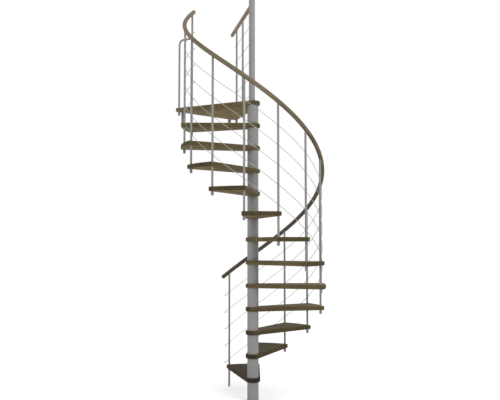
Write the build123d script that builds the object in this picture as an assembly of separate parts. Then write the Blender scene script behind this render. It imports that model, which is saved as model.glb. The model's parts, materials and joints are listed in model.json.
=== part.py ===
"""Spiral staircase kit: wooden treads clamped round a steel column, tube balusters and five cables.

Millimetres, +Z up. The origin is on the floor, on the column's axis. The flight climbs clockwise
seen from above, from the first baluster at the back left round to the landing at the back.
"""

import math
import os

from build123d import *

# Flight
RISE = 222.0
TREAD_COUNT = 12
STEP_TURN = 26.07
FIRST_BALUSTER_ANGLE = 112.0
LANDING_TOP = RISE * (TREAD_COUNT + 1)

# Treads
TREAD_RADIUS = 700.0
TREAD_THICKNESS = 40.0
HEAD_RADIUS = 70.0
CORNER_RADIUS = 12.0
EDGE_ROUNDING = 8.0

# Column
COLUMN_DIAMETER = 108.0
COLUMN_WALL = 4.0
SPACER_END_PLATE = 8.0
ROD_DIAMETER = 20.0
ROD_CLEARANCE = 0.3
BASE_DIAMETER = 120.0
BASE_THICKNESS = 10.0
BASE_ROD_RECESS = 7.0
ANCHOR_CIRCLE = 74.0
ANCHOR_COUNT = 4
ANCHOR_HOLE_DIAMETER = 11.0

# Newel post over the landing
POST_DIAMETER = 60.0
POST_WALL = 3.0
POST_HEIGHT = 1020.0
POST_PLUG = 30.0
POST_CAP_HEIGHT = 8.0
POST_CAP_SPIGOT = 20.0
POST_OFFSET = 9.0
ROD_IN_POST = 25.0

# Balusters. The inset is from a tread's outer edge and the margin from its sides, to the centre.
BALUSTER_INSET = 34.0
BALUSTER_MARGIN = 22.5
BALUSTER_DIAMETER = 20.0
BALUSTER_WALL = 2.0
BALUSTER_HOLE_CLEARANCE = 0.3
BALUSTER_DROP = 33.0
FOOT_CAP_DIAMETER = 26.0
FOOT_CAP_FLOOR = 5.0
FOOT_CAP_ROUNDING = 4.0
FLOOR_PLUG_HEIGHT = 6.0
FLOOR_PLUG_SPIGOT = 15.0
SEAT_GAP = 0.2

# Handrail
RAIL_DIAMETER = 40.0
RAIL_HEIGHT = 970.5
RAIL_OUTSET = 6.0
RAIL_LEAD_IN = 6.3
RAIL_LEAD_OUT = 4.0
RAIL_SECTIONS = 4
END_CAP_THICKNESS = 5.0

# Cables
CABLE_DIAMETER = 5.0
CABLE_COUNT = 5
CABLE_HOLE_CLEARANCE = 0.2
LOWEST_CABLE = 61.0
CABLE_SPACING = 174.2
CABLE_RUNS_PER_BAY = 4
CABLE_OVERRUN = 38.0
TERMINAL_DIAMETER = 12.0
TERMINAL_LENGTH = 15.0

# Landing
LANDING_REACH = 724.0
LANDING_EDGE_ANGLE = 127.6
LANDING_RAIL_ANGLE = 103.7
LANDING_RAIL_OVERHANG = 246.0
LANDING_BALUSTER_INSET = 71.0
LANDING_BALUSTER_SPACING = 300.0
LANDING_LOWEST_CABLE = 80.0
LANDING_CABLE_SPACING = 175.0
HOOP_HEIGHT = 710.0
HOOP_BEND_RADIUS = 50.0

# Brackets that fix the landing to the floor opening
BRACKET_WIDTH = 40.0
BRACKET_THICKNESS = 6.0
BRACKET_DROP = 120.0
BRACKET_LEG = 80.0
BRACKET_INSET = 97.0
BRACKET_HOLE_DIAMETER = 11.0
BRACKET_HOLE_SPACING = 60.0
BRACKET_HOLE_DROP = 30.0

# Values that follow from those above
FULL_TURN = 360.0
COLUMN_RADIUS = COLUMN_DIAMETER / 2
BALUSTER_CIRCLE_RADIUS = TREAD_RADIUS - BALUSTER_INSET
BALUSTER_RADIUS = BALUSTER_DIAMETER / 2
RAIL_RADIUS = RAIL_DIAMETER / 2
RAIL_CIRCLE_RADIUS = BALUSTER_CIRCLE_RADIUS + RAIL_OUTSET
SIDE_OFFSET = HEAD_RADIUS - BALUSTER_MARGIN
TREAD_SIDE_ANGLE = STEP_TURN / 2 - math.degrees(math.asin(SIDE_OFFSET / BALUSTER_CIRCLE_RADIUS))
HOLE_RADIUS = BALUSTER_RADIUS + BALUSTER_HOLE_CLEARANCE
ROD_BORE_RADIUS = ROD_DIAMETER / 2 + ROD_CLEARANCE
CLIMB_PER_DEGREE = RISE / STEP_TURN
CABLE_RADIUS = CABLE_DIAMETER / 2
CABLE_HOLE_RADIUS = CABLE_RADIUS + CABLE_HOLE_CLEARANCE
LAST_BALUSTER = TREAD_COUNT + 1


def at_angle(radius, degrees, height=0.0):
    """The point at that radius and angle from the column's axis."""
    turn = math.radians(degrees)
    return Vector(radius * math.cos(turn), radius * math.sin(turn), height)


def baluster_angle(number):
    """Baluster 1 stands at the first nosing, and the rest follow clockwise."""
    return FIRST_BALUSTER_ANGLE - STEP_TURN * (number - 1)


def tread_angle(number):
    """A tread's centre line lies midway between its two balusters."""
    return FIRST_BALUSTER_ANGLE - STEP_TURN * (number - 0.5)


def angle_of(point):
    """The angle of a point seen from the column's axis, in degrees."""
    return math.degrees(math.atan2(point.Y, point.X))


def rod_between(start, end, radius):
    """A round bar from start to end."""
    run = end - start
    plane = Plane(origin=start, z_dir=run)
    return plane * Cylinder(radius, run.length, align=(Align.CENTER, Align.CENTER, Align.MIN))


def upright(radius, degrees, bottom, top, rod_radius):
    """A vertical round bar standing at a radius and angle."""
    return rod_between(at_angle(radius, degrees, bottom), at_angle(radius, degrees, top), rod_radius)


def wedge_outline(left_angle, left_offset, right_angle, right_offset, length):
    """The area between two straight sides that leave the column, offset outwards from the axis."""
    left_start = at_angle(left_offset, left_angle + 90)
    right_start = at_angle(right_offset, right_angle - 90)
    left_end = left_start + at_angle(length, left_angle)
    right_end = right_start + at_angle(length, right_angle)
    corners = [left_start, left_end, right_end, right_start, Vector(0, 0, 0)]
    return make_face(Polyline(*corners, close=True))


def rounded_board(outline, thickness, corner_distance):
    """A board of that outline with its outer corners rounded and its edges eased, top at z 0."""
    corners = [v for v in outline.vertices() if Vector(v.X, v.Y, 0).length > corner_distance]
    outline = fillet(corners, CORNER_RADIUS)
    board = extrude(outline, -thickness)
    faces = board.faces().sort_by(Axis.Z)
    return fillet(faces[0].edges() + faces[-1].edges(), EDGE_ROUNDING)


def baluster_holes(places, thickness):
    """Drills for the balusters at (radius, angle) places, through a board whose top is at z 0."""
    return [upright(radius, turn, -thickness - 1, 1, HOLE_RADIUS) for radius, turn in places]


def tread_blank():
    """One tread, pointing along +X, with its top at z 0."""
    sides = wedge_outline(TREAD_SIDE_ANGLE, HEAD_RADIUS, -TREAD_SIDE_ANGLE, HEAD_RADIUS, TREAD_RADIUS * 1.2)
    outline = (sides & Circle(TREAD_RADIUS)) + Circle(HEAD_RADIUS)
    board = rounded_board(outline, TREAD_THICKNESS, TREAD_RADIUS * 0.9)
    half_turn = STEP_TURN / 2
    places = [(BALUSTER_CIRCLE_RADIUS, half_turn), (BALUSTER_CIRCLE_RADIUS, -half_turn)]
    bore = Cylinder(ROD_BORE_RADIUS, TREAD_THICKNESS * 3)
    return board - bore - baluster_holes(places, TREAD_THICKNESS)


def treads():
    """The twelve treads, each turned one step further round and one rise higher."""
    blank = tread_blank()
    made = {}
    for number in range(1, TREAD_COUNT + 1):
        place = Pos(0, 0, RISE * number) * Rot(0, 0, tread_angle(number))
        made[f"tread_{number:02d}"] = place * blank
    return made


# The landing's nosing side, as an angle from +X
NOSING_SIDE_ANGLE = tread_angle(LAST_BALUSTER) + FULL_TURN + TREAD_SIDE_ANGLE


def post_centre():
    """The newel post stands a little beside the column's axis."""
    return Vector(-POST_OFFSET, 0, 0)


def landing_rail_place(distance):
    """A point under the landing rail, at that distance from the newel post."""
    return post_centre() + at_angle(distance, LANDING_RAIL_ANGLE)


def landing_baluster_places():
    """Distances of the landing balusters from the post. The outer one is set in from the edge."""
    reach = LANDING_REACH - LANDING_BALUSTER_INSET - post_centre().dot(at_angle(1, LANDING_EDGE_ANGLE))
    outer = reach / math.cos(math.radians(LANDING_EDGE_ANGLE - LANDING_RAIL_ANGLE))
    return [outer - LANDING_BALUSTER_SPACING, outer]


def free_side_angle():
    """The landing's free side, which keeps the outer baluster its margin in from the edge."""
    foot = landing_rail_place(landing_baluster_places()[-1])
    return angle_of(foot) + math.degrees(math.asin(SIDE_OFFSET / foot.length))


def hoop_span():
    """How far the hoop's foot stands from the last baluster, so that it keeps its margin."""
    last = at_angle(BALUSTER_CIRCLE_RADIUS, baluster_angle(LAST_BALUSTER))
    reach = LANDING_REACH - BALUSTER_MARGIN - last.dot(at_angle(1, LANDING_EDGE_ANGLE))
    return reach / math.cos(math.radians(NOSING_SIDE_ANGLE - LANDING_EDGE_ANGLE))


def hoop_foot():
    """The hoop stands on a line through the last baluster, parallel to the landing's nosing."""
    last = at_angle(BALUSTER_CIRCLE_RADIUS, baluster_angle(LAST_BALUSTER))
    return last + at_angle(hoop_span(), NOSING_SIDE_ANGLE)


def landing_feet():
    """Where the hoop and the landing balusters stand."""
    return [hoop_foot()] + [landing_rail_place(distance) for distance in landing_baluster_places()]


def landing_platform():
    """The landing: a wedge board with a straight outer edge that meets the floor opening."""
    sides = wedge_outline(
        NOSING_SIDE_ANGLE, HEAD_RADIUS, free_side_angle(), HEAD_RADIUS, LANDING_REACH * 2
    )
    reach = Rot(0, 0, LANDING_EDGE_ANGLE) * Rectangle(LANDING_REACH * 2, LANDING_REACH * 4)
    outline = (sides & reach) + Circle(HEAD_RADIUS)
    board = rounded_board(outline, TREAD_THICKNESS, LANDING_REACH * 0.9)
    places = [(BALUSTER_CIRCLE_RADIUS, baluster_angle(LAST_BALUSTER))]
    places += [(foot.length, angle_of(foot)) for foot in landing_feet()]
    bore = Cylinder(ROD_BORE_RADIUS, TREAD_THICKNESS * 3)
    return Pos(0, 0, LANDING_TOP) * (board - bore - baluster_holes(places, TREAD_THICKNESS))


def ring_profile(points):
    """A solid of revolution about Z from (radius, height) points."""
    face = make_face(Polyline(*[(r, 0, z) for r, z in points], close=True))
    return revolve(face, Axis.Z)


def column_spacer(bottom, top, lower_plate):
    """A tube between two treads, closed by end plates that centre it on the rod."""
    outer, inner = COLUMN_RADIUS, COLUMN_RADIUS - COLUMN_WALL
    profile = [(outer, bottom), (outer, top), (ROD_BORE_RADIUS, top)]
    profile += [(ROD_BORE_RADIUS, top - SPACER_END_PLATE), (inner, top - SPACER_END_PLATE)]
    if lower_plate:
        plate_top = bottom + SPACER_END_PLATE
        profile += [(inner, plate_top), (ROD_BORE_RADIUS, plate_top), (ROD_BORE_RADIUS, bottom)]
    else:
        profile += [(inner, bottom)]
    return ring_profile(profile)


def column_spacers():
    """Thirteen spacers. The lowest has no lower plate, so that it clears the anchor bolts."""
    spacers = [column_spacer(BASE_THICKNESS, RISE - TREAD_THICKNESS, False)]
    for number in range(1, TREAD_COUNT + 1):
        top = RISE * (number + 1) - TREAD_THICKNESS
        spacers.append(column_spacer(RISE * number, top, True))
    return Compound(children=spacers)


def base_plate():
    """The round floor plate, with a recess for the rod and holes for the anchors."""
    plate = Cylinder(BASE_DIAMETER / 2, BASE_THICKNESS, align=(Align.CENTER, Align.CENTER, Align.MIN))
    plate = chamfer(plate.edges().group_by(Axis.Z)[-1], 1.5)
    recess = Pos(0, 0, BASE_THICKNESS - BASE_ROD_RECESS) * Cylinder(
        ROD_BORE_RADIUS, BASE_THICKNESS, align=(Align.CENTER, Align.CENTER, Align.MIN)
    )
    plate -= recess
    for i in range(ANCHOR_COUNT):
        turn = FULL_TURN / ANCHOR_COUNT * (i + 0.5)
        plate -= upright(ANCHOR_CIRCLE / 2, turn, -1, BASE_THICKNESS + 1, ANCHOR_HOLE_DIAMETER / 2)
    return plate


def tension_rod():
    """The rod that clamps treads and spacers together, from the floor plate into the post."""
    bottom = BASE_THICKNESS - BASE_ROD_RECESS
    return upright(0, 0, bottom, LANDING_TOP + ROD_IN_POST, ROD_DIAMETER / 2)


def newel_post():
    """The post's tube over the landing, with the plug that screws on to the rod."""
    outer, inner = POST_DIAMETER / 2, POST_DIAMETER / 2 - POST_WALL
    bottom, top = LANDING_TOP, LANDING_TOP + POST_HEIGHT - POST_CAP_HEIGHT
    profile = [(0, bottom), (outer, bottom), (outer, top), (inner, top)]
    profile += [(inner, bottom + POST_PLUG), (0, bottom + POST_PLUG)]
    bore = upright(0, 0, bottom - POST_PLUG, bottom + POST_PLUG * 2, ROD_BORE_RADIUS)
    return Pos(post_centre()) * ring_profile(profile) - bore


def post_cap():
    """A low turned cap with a spigot inside the post."""
    outer, spigot = POST_DIAMETER / 2, POST_DIAMETER / 2 - POST_WALL - SEAT_GAP
    seat = LANDING_TOP + POST_HEIGHT - POST_CAP_HEIGHT
    top = LANDING_TOP + POST_HEIGHT
    rounding = POST_CAP_HEIGHT * 0.6
    profile = [(0, seat - POST_CAP_SPIGOT), (spigot, seat - POST_CAP_SPIGOT), (spigot, seat)]
    profile += [(outer, seat), (outer, top - rounding), (outer - rounding, top), (0, top)]
    return Pos(post_centre()) * ring_profile(profile)


def rail_point(degrees):
    """The handrail's centre at that angle. It climbs with the nosings."""
    climbed = (FIRST_BALUSTER_ANGLE - degrees) * CLIMB_PER_DEGREE
    return at_angle(RAIL_CIRCLE_RADIUS, degrees, RISE + RAIL_HEIGHT + climbed)


def climb_direction(degrees, radius=RAIL_CIRCLE_RADIUS):
    """The direction of climb at that angle, for a line at that radius."""
    around = at_angle(1, degrees - 90)
    slope = CLIMB_PER_DEGREE * 180 / math.pi / radius
    return (around + Vector(0, 0, slope)).normalized()


def climbing_bar(start, end, height, radius, bar_radius):
    """A round bar along the helix from one angle to a lower one. It starts at that height."""
    turn = start - end
    helix = Helix(CLIMB_PER_DEGREE * FULL_TURN, CLIMB_PER_DEGREE * turn, radius, lefthand=True)
    profile = Plane(origin=helix @ 0, z_dir=helix % 0) * Circle(bar_radius)
    bar = sweep(profile, path=helix, is_frenet=True)
    return Pos(0, 0, height) * Rot(0, 0, start) * bar


def handrail():
    """The helical handrail in sections that meet at balusters."""
    start = FIRST_BALUSTER_ANGLE + RAIL_LEAD_IN
    end = baluster_angle(LAST_BALUSTER) - RAIL_LEAD_OUT
    bays = TREAD_COUNT // RAIL_SECTIONS
    joints = [baluster_angle(1 + bays * i) for i in range(1, RAIL_SECTIONS)]
    limits = [start, *joints, end]
    return {
        f"handrail_section_{i + 1}": climbing_bar(
            limits[i], limits[i + 1], rail_point(limits[i]).Z, RAIL_CIRCLE_RADIUS, RAIL_RADIUS
        )
        for i in range(RAIL_SECTIONS)
    }


def baluster_body(foot, bottom, rail_centre, rail_run):
    """A tube baluster whose top is coped to the underside of the rail it carries."""
    base = Vector(foot.X, foot.Y, bottom)
    top = Vector(foot.X, foot.Y, rail_centre.Z)
    body = rod_between(base, top, BALUSTER_RADIUS) - rod_between(base, top, BALUSTER_RADIUS - BALUSTER_WALL)
    reach = rail_run * BALUSTER_DIAMETER * 2
    return body - rod_between(rail_centre - reach, rail_centre + reach, RAIL_RADIUS + SEAT_GAP)


def cable_holes(foot, heights, run):
    """Drills for the cables, across a baluster in the direction they run."""
    drills = []
    for height in heights:
        centre = Vector(foot.X, foot.Y, height)
        reach = run * BALUSTER_DIAMETER
        drills.append(rod_between(centre - reach, centre + reach, CABLE_HOLE_RADIUS))
    return drills


def flight_cable_heights(number):
    """Heights of the cables at a baluster. They climb with the nosings."""
    return [RISE * number + LOWEST_CABLE + CABLE_SPACING * i for i in range(CABLE_COUNT)]


def landing_cable_heights():
    """Heights of the level cables."""
    return [LANDING_TOP + LANDING_LOWEST_CABLE + LANDING_CABLE_SPACING * i for i in range(CABLE_COUNT)]


def baluster_bottom(number):
    """The first baluster stands on its floor plug, and each other ends below the tread before it."""
    if number == 1:
        return FLOOR_PLUG_HEIGHT
    return RISE * (number - 1) - TREAD_THICKNESS - BALUSTER_DROP


def flight_balusters():
    """Thirteen balusters under the handrail."""
    bodies = []
    for number in range(1, LAST_BALUSTER + 1):
        turn = baluster_angle(number)
        foot = at_angle(BALUSTER_CIRCLE_RADIUS, turn)
        body = baluster_body(foot, baluster_bottom(number), rail_point(turn), climb_direction(turn))
        run = climb_direction(turn, BALUSTER_CIRCLE_RADIUS)
        bodies.append(body - cable_holes(foot, flight_cable_heights(number), run))
    return Compound(children=bodies)


def landing_rail_centre(distance):
    """A point on the landing rail's centre line."""
    return landing_rail_place(distance) + Vector(0, 0, LANDING_TOP + RAIL_HEIGHT)


def landing_rail_length():
    """The landing rail runs past its outer baluster."""
    return landing_baluster_places()[-1] + LANDING_RAIL_OVERHANG


def landing_rail():
    """The level rail from the newel post out over the landing's free side."""
    rail = rod_between(landing_rail_centre(0), landing_rail_centre(landing_rail_length()), RAIL_RADIUS)
    post = upright(0, 0, LANDING_TOP, LANDING_TOP + POST_HEIGHT * 2, POST_DIAMETER / 2 + SEAT_GAP)
    return rail - Pos(post_centre()) * post


def landing_balusters():
    """The balusters of the landing rail."""
    bottom = LANDING_TOP - TREAD_THICKNESS - BALUSTER_DROP
    along = at_angle(1, LANDING_RAIL_ANGLE)
    bodies = []
    for distance in landing_baluster_places():
        foot = landing_rail_place(distance)
        body = baluster_body(foot, bottom, landing_rail_centre(distance), along)
        bodies.append(body - cable_holes(foot, landing_cable_heights(), along))
    return Compound(children=bodies)


def landing_hoop():
    """A bent tube that closes the gap between the last baluster and the landing's corner."""
    foot = hoop_foot()
    bottom = LANDING_TOP - TREAD_THICKNESS - BALUSTER_DROP
    bar_height = LANDING_TOP + HOOP_HEIGHT
    inward = at_angle(-1, NOSING_SIDE_ANGLE)
    bar_end = foot + inward * (hoop_span() - BALUSTER_RADIUS - SEAT_GAP)
    corners = [(foot.X, foot.Y, bottom), (foot.X, foot.Y, bar_height), (bar_end.X, bar_end.Y, bar_height)]
    path = FilletPolyline(*corners, radius=HOOP_BEND_RADIUS)
    profile = Plane(origin=path @ 0, z_dir=path % 0) * Circle(BALUSTER_RADIUS)
    bar = sweep(profile, path=path)
    last = baluster_angle(LAST_BALUSTER)
    return bar - upright(BALUSTER_CIRCLE_RADIUS, last, bottom, bar_height * 2, BALUSTER_RADIUS + SEAT_GAP)


def foot_cap(foot, underside):
    """The closed cup that holds a baluster's end under a board."""
    top_centred = (Align.CENTER, Align.CENTER, Align.MAX)
    cup = Cylinder(FOOT_CAP_DIAMETER / 2, BALUSTER_DROP + FOOT_CAP_FLOOR, align=top_centred)
    cup = fillet(cup.edges().group_by(Axis.Z)[0], FOOT_CAP_ROUNDING)
    cup -= Cylinder(BALUSTER_RADIUS + SEAT_GAP, BALUSTER_DROP + SEAT_GAP, align=top_centred)
    return Pos(foot.X, foot.Y, underside) * cup


def floor_plug():
    """The plug that closes the first baluster's lower end, with a rounded foot on the floor."""
    spigot = BALUSTER_RADIUS - BALUSTER_WALL - SEAT_GAP
    foot = at_angle(BALUSTER_CIRCLE_RADIUS, baluster_angle(1))
    plug = upright(0, 0, 0, FLOOR_PLUG_HEIGHT, BALUSTER_RADIUS)
    plug = fillet(plug.edges().group_by(Axis.Z)[0], FLOOR_PLUG_HEIGHT / 2)
    plug += upright(0, 0, FLOOR_PLUG_HEIGHT / 2, FLOOR_PLUG_HEIGHT + FLOOR_PLUG_SPIGOT, spigot)
    return Pos(foot) * plug


def baluster_foot_caps():
    """One cup under each board at each baluster that ends there, and the plug on the floor."""
    caps = [floor_plug()]
    for number in range(2, LAST_BALUSTER + 1):
        foot = at_angle(BALUSTER_CIRCLE_RADIUS, baluster_angle(number))
        caps.append(foot_cap(foot, RISE * (number - 1) - TREAD_THICKNESS))
    caps += [foot_cap(foot, LANDING_TOP - TREAD_THICKNESS) for foot in landing_feet()]
    return Compound(children=caps)


def end_cap(centre, outward):
    """A round cap on a rail's cut end."""
    plane = Plane(origin=centre, z_dir=outward)
    cap = Cylinder(RAIL_RADIUS, END_CAP_THICKNESS, align=(Align.CENTER, Align.CENTER, Align.MIN))
    cap = fillet(cap.edges().group_by(Axis.Z)[-1], END_CAP_THICKNESS * 0.6)
    return plane * cap


def rail_end_caps():
    """Caps at both ends of the handrail and at the landing rail's free end."""
    start = FIRST_BALUSTER_ANGLE + RAIL_LEAD_IN
    end = baluster_angle(LAST_BALUSTER) - RAIL_LEAD_OUT
    caps = [
        end_cap(rail_point(start), -climb_direction(start)),
        end_cap(rail_point(end), climb_direction(end)),
        end_cap(landing_rail_centre(landing_rail_length()), at_angle(1, LANDING_RAIL_ANGLE)),
    ]
    return Compound(children=caps)


def terminal(end, outward):
    """The swaged stud at a cable's end."""
    return rod_between(end - outward, end + outward * TERMINAL_LENGTH, TERMINAL_DIAMETER / 2)


def flight_cable_points(height):
    """Where one cable bends. Each baluster stands at the middle of a short straight run."""
    step = STEP_TURN / CABLE_RUNS_PER_BAY
    radius = BALUSTER_CIRCLE_RADIUS / math.cos(math.radians(step / 2))
    turns = [step * (k - 0.5) for k in range(TREAD_COUNT * CABLE_RUNS_PER_BAY + 2)]
    return [at_angle(radius, FIRST_BALUSTER_ANGLE - t, height + t * CLIMB_PER_DEGREE) for t in turns]


def flight_cables():
    """Five cables that run up through the balusters from end to end of the flight."""
    made = {}
    for i, height in enumerate(flight_cable_heights(1)):
        points = flight_cable_points(height)
        path = Polyline(*points)
        profile = Plane(origin=path @ 0, z_dir=path % 0) * Circle(CABLE_RADIUS)
        cable = sweep(profile, path=path, transition=Transition.RIGHT)
        cable += terminal(points[0], (points[0] - points[1]).normalized())
        cable += terminal(points[-1], (points[-1] - points[-2]).normalized())
        made[f"cable_{i + 1}"] = cable
    return made


def landing_cables():
    """Five level cables from the newel post through both landing balusters."""
    along = at_angle(1, LANDING_RAIL_ANGLE)
    start = post_centre()
    end = landing_rail_place(landing_baluster_places()[-1] + CABLE_OVERRUN)
    cable = rod_between(start, end, CABLE_RADIUS)
    cable += rod_between(start, landing_rail_place(POST_DIAMETER), TERMINAL_DIAMETER / 2)
    cable += terminal(end, along)
    cable -= Pos(start) * Cylinder(POST_DIAMETER / 2 + SEAT_GAP, TERMINAL_DIAMETER * 2)
    return Compound(children=[Pos(0, 0, height) * cable for height in landing_cable_heights()])


def landing_bracket():
    """An angle under the landing's outer edge, with its upright leg towards the floor opening.

    It is drawn with the upright leg's outer face on the YZ plane and the landing's underside at z 0.
    """
    flange = Box(BRACKET_LEG, BRACKET_WIDTH, BRACKET_THICKNESS, align=(Align.MAX, Align.CENTER, Align.MAX))
    leg = Box(BRACKET_THICKNESS, BRACKET_WIDTH, BRACKET_DROP, align=(Align.MAX, Align.CENTER, Align.MAX))
    bracket = flange + leg
    bracket = fillet(bracket.edges().filter_by(Axis.X).group_by(Axis.Z)[0], BRACKET_THICKNESS)
    for i in range(2):
        height = -BRACKET_HOLE_DROP - BRACKET_HOLE_SPACING * i
        drill = Cylinder(BRACKET_HOLE_DIAMETER / 2, BRACKET_THICKNESS * 4, rotation=(0, 90, 0))
        bracket -= Pos(0, 0, height) * drill
    return bracket


def landing_brackets():
    """Two brackets along the landing's outer edge, each set in from a corner of the board."""
    bracket = landing_bracket()
    outward = at_angle(1, LANDING_EDGE_ANGLE)
    along = at_angle(1, LANDING_EDGE_ANGLE + 90)
    made = []
    for side, inward in ((NOSING_SIDE_ANGLE, -1), (free_side_angle(), 1)):
        offset = at_angle(-HEAD_RADIUS * inward, side + 90)
        run = at_angle(1, side)
        reach = (LANDING_REACH - offset.dot(outward)) / run.dot(outward)
        corner = offset + run * reach
        place = corner + along * BRACKET_INSET * inward
        height = LANDING_TOP - TREAD_THICKNESS
        made.append(Pos(place.X, place.Y, height) * Rot(0, 0, LANDING_EDGE_ANGLE) * bracket)
    return Compound(children=made)


def main():
    os.makedirs("parts", exist_ok=True)
    nodes = {
        "base_plate": base_plate(),
        "tension_rod": tension_rod(),
        "column_spacers": column_spacers(),
        **treads(),
        "landing_platform": landing_platform(),
        "newel_post": newel_post(),
        "post_cap": post_cap(),
        "balusters": flight_balusters(),
        "landing_balusters": landing_balusters(),
        "landing_hoop": landing_hoop(),
        "baluster_foot_caps": baluster_foot_caps(),
        **handrail(),
        "landing_rail": landing_rail(),
        "rail_end_caps": rail_end_caps(),
        **flight_cables(),
        "landing_cables": landing_cables(),
        "landing_brackets": landing_brackets(),
    }
    for name, shape in nodes.items():
        export_step(shape, f"parts/{name}.step")


main()
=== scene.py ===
"""Finish of a spiral staircase kit: wooden treads round a grey steel column, with a helical rail.

Everything is in metres, +Z up, with the origin on the floor at the column's axis. The flight climbs
clockwise seen from above. An angle is turned from +X towards +Y, so it falls as the flight climbs.
"""

from __future__ import annotations

import json
import logging
import math
from dataclasses import dataclass, replace
from enum import Enum
from typing import Any, Sequence

import bpy
import numpy as np
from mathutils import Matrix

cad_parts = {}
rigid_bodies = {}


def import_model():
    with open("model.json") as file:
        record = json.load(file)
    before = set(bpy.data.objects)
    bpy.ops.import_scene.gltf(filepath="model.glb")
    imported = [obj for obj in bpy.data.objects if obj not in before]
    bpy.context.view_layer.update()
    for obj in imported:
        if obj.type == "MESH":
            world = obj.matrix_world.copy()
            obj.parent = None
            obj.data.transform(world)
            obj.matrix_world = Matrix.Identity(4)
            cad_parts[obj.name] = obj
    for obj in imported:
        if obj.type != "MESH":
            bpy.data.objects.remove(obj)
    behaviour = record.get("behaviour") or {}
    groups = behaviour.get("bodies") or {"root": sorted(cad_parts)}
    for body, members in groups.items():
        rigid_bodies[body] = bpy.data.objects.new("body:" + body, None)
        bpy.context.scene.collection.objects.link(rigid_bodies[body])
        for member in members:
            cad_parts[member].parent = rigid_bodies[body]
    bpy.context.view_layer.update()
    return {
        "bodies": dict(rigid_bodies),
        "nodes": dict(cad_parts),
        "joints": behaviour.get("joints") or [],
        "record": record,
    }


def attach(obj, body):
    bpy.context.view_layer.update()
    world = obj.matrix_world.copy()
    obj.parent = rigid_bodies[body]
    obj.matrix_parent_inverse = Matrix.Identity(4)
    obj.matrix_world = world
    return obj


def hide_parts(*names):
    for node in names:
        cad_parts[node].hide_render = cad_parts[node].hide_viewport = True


logging.basicConfig(level=logging.INFO, format="%(message)s")
LOG = logging.getLogger("staircase")

Array = np.ndarray
Colour = tuple[float, float, float]
Place = tuple[float, float, float]
Relief = tuple[float, float]  # a bump's distance in metres and its strength
Material = bpy.types.Material
Node = bpy.types.Node
NodeTree = bpy.types.NodeTree

BODY = "root"
TREAD_COUNT = 12
CABLE_COUNT = 5
FULL_TURN = 360.0
SHARP_ANGLE = 40.0
UP = np.array([0.0, 0.0, 1.0])

PORE: Colour = (0.012, 0.009, 0.006)
# Near-black for board edges: painted shade on the sides, and on end grain partly its deeper stain and partly
# painted shade.
END_GRAIN_AND_PAINTED_SHADE: Colour = (0.014, 0.014, 0.012)
DUST_ON_WOOD: Colour = (0.45, 0.42, 0.38)
DUST_ON_PAINT: Colour = (0.5, 0.49, 0.46)
# Painted shade in the gaps between a cable's wires.
STRAND_GROOVE_SHADE: Colour = (0.08, 0.08, 0.08)
ZINC_STAIN: Colour = (0.22, 0.21, 0.19)


class Slot(Enum):
    """The record's material slots."""

    TREAD_WOOD = "tread_wood"
    RAIL_WOOD = "rail_wood"
    GREY_PAINT = "grey_paint"
    CABLE_STEEL = "cable_steel"
    ZINC_STEEL = "zinc_steel"
    DARK_PLASTIC = "dark_plastic"


def direction(degrees: float) -> Array:
    """Unit vector in the floor plane at that angle from +X."""
    turn = math.radians(degrees)
    return np.array([math.cos(turn), math.sin(turn), 0.0])


def rgba(colour: Colour, share: float = 1.0) -> tuple[float, ...]:
    """A colour as a socket takes it, dimmed to that share."""
    return (*(part * share for part in colour), 1.0)


@dataclass
class Surface:
    """One closed skin: points, quads with a UV per corner, and the triangles that close its ends."""

    points: Array
    quads: Array
    quad_uv: Array
    triangles: Array
    triangle_uv: Array


def corners_uv(*corners: tuple[Array, Array]) -> Array:
    """Stacks (along, around) pairs, one pair of arrays for each corner of many faces."""
    return np.stack([np.stack(pair, axis=1) for pair in corners], axis=1)


def tube(centres: Array, radii: Array, tangents: Array, normals: Array, segments: int) -> Surface:
    """A skin of rings along a path.

    A point is centre(u) + radius(u) * (cos(2 pi v) * normal(u) + sin(2 pi v) * binormal(u)), where the
    binormal is tangent x normal. Both ends close on the ring's centre. UV holds metres along the skin
    and v.

    Args:
        centres: Ring centres, one row each.
        radii: Ring radii.
        tangents: Unit direction of the path at each ring.
        normals: Unit vector square to the tangent, where v starts.
        segments: Points in a ring.

    Returns:
        The skin, with its faces outwards.
    """
    count = len(centres)
    binormals = np.cross(tangents, normals)
    turn = np.linspace(0, 2 * np.pi, segments, endpoint=False)[None, :, None]
    ring = np.cos(turn) * normals[:, None] + np.sin(turn) * binormals[:, None]
    grid = centres[:, None] + radii[:, None, None] * ring
    points = np.vstack([grid.reshape(-1, 3), centres[:1], centres[-1:]])
    steps = np.hypot(np.linalg.norm(np.diff(centres, axis=0), axis=1), np.diff(radii))
    along = np.concatenate([[0.0], np.cumsum(steps)])

    i, j = [a.ravel() for a in np.meshgrid(np.arange(count - 1), np.arange(segments), indexing="ij")]
    beside = (j + 1) % segments
    near, far = i * segments, (i + 1) * segments
    quads = np.stack([near + j, near + beside, far + beside, far + j], axis=1)
    v0, v1 = j / segments, (j + 1) / segments
    quad_uv = corners_uv((along[i], v0), (along[i], v1), (along[i + 1], v1), (along[i + 1], v0))

    j = np.arange(segments)
    beside = (j + 1) % segments
    v0, v1, middle = j / segments, (j + 1) / segments, (j + 0.5) / segments
    low, high = np.zeros(segments), np.full(segments, along[-1])
    hub, last = count * segments, (count - 1) * segments
    start = np.stack([np.full(segments, hub), beside, j], axis=1)
    end = np.stack([np.full(segments, hub + 1), last + j, last + beside], axis=1)
    start_uv = corners_uv((low, middle), (low, v1), (low, v0))
    end_uv = corners_uv((high, middle), (high, v0), (high, v1))
    return Surface(points, quads, quad_uv, np.vstack([start, end]), np.vstack([start_uv, end_uv]))


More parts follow.
